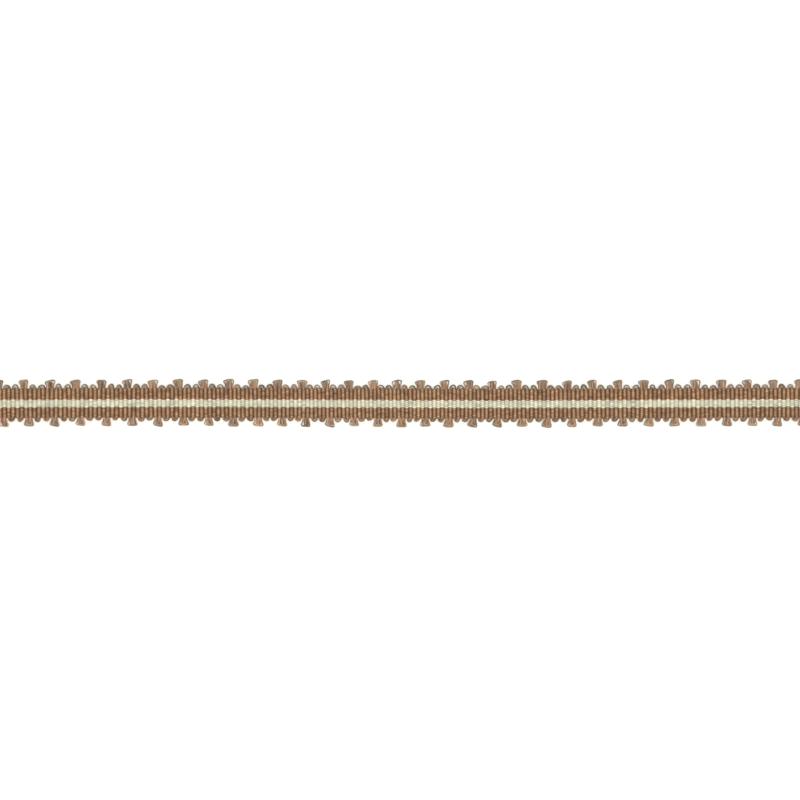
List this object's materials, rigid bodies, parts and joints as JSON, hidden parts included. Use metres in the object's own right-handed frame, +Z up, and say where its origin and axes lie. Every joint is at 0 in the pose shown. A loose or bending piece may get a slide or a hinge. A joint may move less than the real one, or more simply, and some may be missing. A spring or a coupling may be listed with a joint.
{
  "type": "picot braid trim",
  "caption": "Flat ribbed woven trimming with a pale centre stripe, edged on both sides with small yarn loops and taller fan-shaped picots.",
  "frame": {"origin": "middle of the underside of the trim's own box, where it lies on the surface", "axes": "+X along the trim, +Y across it to its upper edge, +Z up out of its face"},
  "size_m": [0.2224, 0.013, 0.0014],
  "materials": {
    "brown_warp": "ribbed woven cotton warp, soft sheen",
    "ivory_warp": "ribbed woven cotton warp in ivory, soft sheen: the centre stripe of the woven band",
    "brown_weft": "lustrous viscose yarn loops and picots"
  },
  "bodies": {
    "root": {"woven_band": "brown_warp", "upper_picot_edge": "brown_weft", "lower_picot_edge": "brown_weft"}
  },
  "joints": []
}
